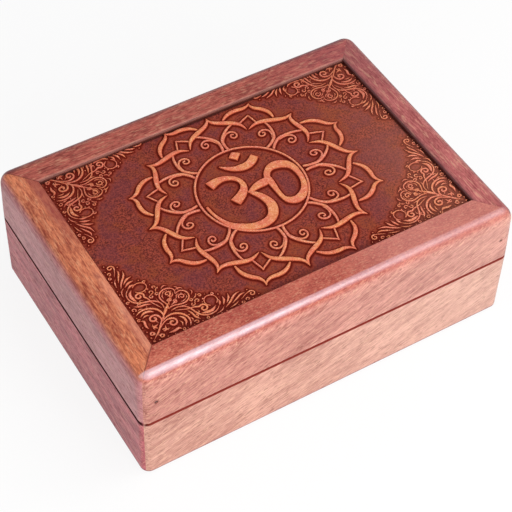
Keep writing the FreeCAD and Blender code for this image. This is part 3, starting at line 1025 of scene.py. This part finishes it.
def measure_distance(mesh):
    """Stores each point's distance from the carving, in millimetres."""
    reach = 5.0
    spots = np.empty(len(mesh.vertices) * 3, np.float32)
    mesh.vertices.foreach_get("co", spots)
    spots = spots.reshape(-1, 3)[:, :2] / MM
    columns = np.clip(np.rint((spots[:, 0] + SHOWN_X) / CELL), 0, None).astype(int)
    rows = np.clip(np.rint((spots[:, 1] + SHOWN_Y) / CELL), 0, None).astype(int)
    wide, high = columns.max() + 1, rows.max() + 1
    away = np.full((high, wide), reach)
    for x, y, radius in all_lines:
        first_x, last_x = (int((x + SHOWN_X + side) / CELL) for side in (-reach, reach))
        first_y, last_y = (int((y + SHOWN_Y + side) / CELL) for side in (-reach, reach))
        first_x, first_y = max(first_x, 0), max(first_y, 0)
        across = np.arange(first_x, min(last_x, wide)) * CELL - SHOWN_X - x
        along = np.arange(first_y, min(last_y, high)) * CELL - SHOWN_Y - y
        part = away[first_y:first_y + len(along), first_x:first_x + len(across)]
        np.minimum(part, np.hypot(across[None, :], along[:, None]) - radius, out=part)
    values = away[rows, columns]
    layer = mesh.attributes.new("from_carving", "FLOAT", "POINT")
    layer.data.foreach_set("value", values.astype(np.float32))
    return values.min(), values.max()


def ground_wood():
    finish = Finish("burnt_ground")
    where = finish.place()
    away = finish.node("ShaderNodeAttribute", {"attribute_name": "from_carving"}, output="Fac")
    speckle = finish.noise(where, 1.4, 4.0, 0.75)
    cloud = finish.step(finish.noise(where, 0.09, 4.0, 0.65), 0.40, 0.62)
    colour = finish.mix(finish.step(speckle, 0.40, 0.61), tint(88, 33, 29), tint(158, 72, 56))
    colour = finish.mix(cloud * 0.45, colour, tint(112, 54, 62))
    warmth = finish.step(finish.noise(where, 0.07, 3.0, 0.6, 0.5), 0.48, 0.66)
    colour = finish.mix(warmth * finish.step(speckle, 0.3, 0.62) * 0.75, colour, tint(146, 70, 42))
    x, y = (finish.axis(where, name) for name in "XY")
    from_middle = finish.node("ShaderNodeVectorMath", {"operation": "LENGTH"}, {0: where}, output="Value")
    colour = finish.mix(finish.step(from_middle, 40.0, 58.0, 0.3, 0.0), colour, tint(96, 40, 66))
    glow = finish.step(away, 0.6, 2.6, 0.5, 0.0)
    colour = finish.mix(glow, colour, tint(150, 58, 34))
    burn = finish.step(away, 0.42, 1.25, 0.94, 0.0)
    colour = finish.mix(burn, colour, tint(92, 16, 6))
    colour = finish.mix(finish.step(y, -INNER_Y, 6.0 - INNER_Y, 0.45, 0.0), colour, tint(88, 26, 20))
    # Painted sheen over the panel's front right part.
    colour = painted_front_right_sheen(finish, colour, x, y)
    # Painted shade along the foot of the rails' walls, at the panel's edges.
    wall_foot_shade_x = finish.step(abs(x), INNER_X - 0.9, INNER_X - 0.1)
    wall_foot_shade_y = finish.step(abs(y), INNER_Y - 0.9, INNER_Y - 0.1)
    colour = finish.mix(wall_foot_shade_x.highest(wall_foot_shade_y) * 0.7, colour, tint(48, 14, 10))
    grain = finish.noise(finish.place((0, 0, 0), (5, 9, 2), (0.08, 1, 1)), 0.6, 3.0, 0.6, 0.4)
    sawn = finish.mix(finish.step(grain, 0.36, 0.64), tint(138, 72, 54), tint(176, 104, 80))
    colour = finish.mix(finish.step(finish.axis(where, "Z"), 57.0, 58.5, 1.0, 0.0), colour, sawn)
    finish.set(base_color=colour, roughness=speckle * 0.3 + 0.45, specular_ior_level=0.06)
    finish.set(normal=finish.bump(speckle, 0.5, 0.00025))
    return finish.material


panel_mesh = panel_board()
nearest, furthest = measure_distance(panel_mesh)
panel_mesh.materials.append(ground_wood())
sunk_panel = bpy.data.objects.new("sunk_panel", panel_mesh)
bpy.context.scene.collection.objects.link(sunk_panel)
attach(sunk_panel, "lid")
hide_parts("carved_panel")
bpy.data.objects.remove(SECTION)
print("panel", len(panel_mesh.polygons), "faces, distances", round(nearest, 2), round(furthest, 2))

# %% [markdown]
# The two butt hinges are stamped brass, tarnished a little in cloudy patches, with drawn pins
# and slotted screws. The bottom's nails and the lid's brads are plain bright steel. The
# construction has their shapes already, so they only need their metal.

# %% Brass and steel


def metal(name, bright, dull, rough):
    finish = Finish(name)
    where = finish.place()
    cloud = finish.step(finish.noise(where, 0.5, 3.0, 0.6), 0.38, 0.64)
    drawn = finish.node("ShaderNodeVectorMath", {"operation": "MULTIPLY"}, {0: where, 1: (0.1, 3, 3)})
    scratches = finish.noise(drawn, 2.0, 2.0)
    finish.set(base_color=finish.mix(cloud, dull, bright), metallic=1.0)
    finish.set(roughness=cloud * -0.14 + scratches * 0.12 + rough)
    finish.set(normal=finish.bump(scratches, 0.15, 0.00005))
    return finish.material


BRASS = metal("aged_brass", tint(222, 178, 104), tint(190, 144, 80), 0.38)
STEEL = metal("plain_steel", tint(196, 196, 200), tint(128, 126, 126), 0.42)
for node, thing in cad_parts.items():
    if "hinge" in node:
        dress(node, BRASS)
dress("bottom_nails", STEEL)
dress("lid_corner_brads", STEEL)
print("metal fittings dressed")

# %% [markdown]
# The bottom is a thin board of a paler, plainer wood. It is seen from below, and inside it
# carries a laid pad of felt, which is drawn a little smaller than the well so that it drops
# in. Felt has no weave, only a matt nap, so its shape is a soft-edged sheet.

# %% The bottom board


def bottom_wood():
    finish = Finish("bottom_wood")
    grain = finish.place((0, 0, 0), (9, 31, 2), (0.06, 1, 1))
    bands = finish.noise(grain, 0.35, 4.0, 0.6, 0.4)
    pores = finish.step(finish.noise(grain, 2.2, 2.0), 0.60, 0.74)
    colour = finish.mix(finish.step(bands, 0.36, 0.64), tint(176, 120, 86), tint(206, 156, 116))
    colour = finish.mix(pores * 0.5, colour, tint(104, 62, 42))
    finish.set(base_color=colour, roughness=pores * 0.2 + 0.55)
    finish.set(normal=finish.bump(bands * 0.5 - pores, 0.3, 0.0001))
    return finish.material


dress("bottom_board", bottom_wood())
print("bottom board dressed")

# %% The felt pad


def felt():
    finish = Finish("red_felt")
    where = finish.place()
    nap = finish.noise(where, 2.4, 4.0, 0.7)
    patches = finish.noise(where, 0.08, 2.0)
    colour = finish.mix(finish.step(nap, 0.3, 0.7), tint(84, 12, 20), tint(122, 24, 32))
    colour = finish.mix(patches * 0.4, colour, tint(98, 16, 24))
    finish.set(base_color=colour, roughness=0.95, specular_ior_level=0.1, sheen_weight=0.1)
    finish.set(normal=finish.bump(nap, 0.6, 0.0003))
    return finish.material


def felt_pad():
    low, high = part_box("base_lining")
    shape = bmesh.new()
    middle = Matrix.Translation((low + high) / 2)
    size = Matrix.Diagonal((high.x - low.x, high.y - low.y, high.z - low.z, 1.0))
    bmesh.ops.create_cube(shape, size=1.0, matrix=middle @ size)
    upright = [e for e in shape.edges if abs(e.verts[0].co.z - e.verts[1].co.z) > 0.0005]
    bmesh.ops.bevel(
        shape, geom=upright, offset=0.002, segments=5, profile=0.5, material=-1, affect="EDGES"
    )
    top = [e for e in shape.edges if all(v.co.z > high.z - 1e-6 for v in e.verts)]
    bmesh.ops.bevel(
        shape, geom=top, offset=0.00035, segments=3, profile=0.5, material=-1, affect="EDGES"
    )
    mesh = bpy.data.meshes.new("felt_pad")
    shape.to_mesh(mesh)
    shape.free()
    mesh.materials.append(felt())
    pad = bpy.data.objects.new("felt_pad", mesh)
    bpy.context.scene.collection.objects.link(pad)
    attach(pad, "base")
    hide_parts("base_lining")
    return pad


pad = felt_pad()
print("felt pad", [round(x, 4) for x in pad.dimensions])
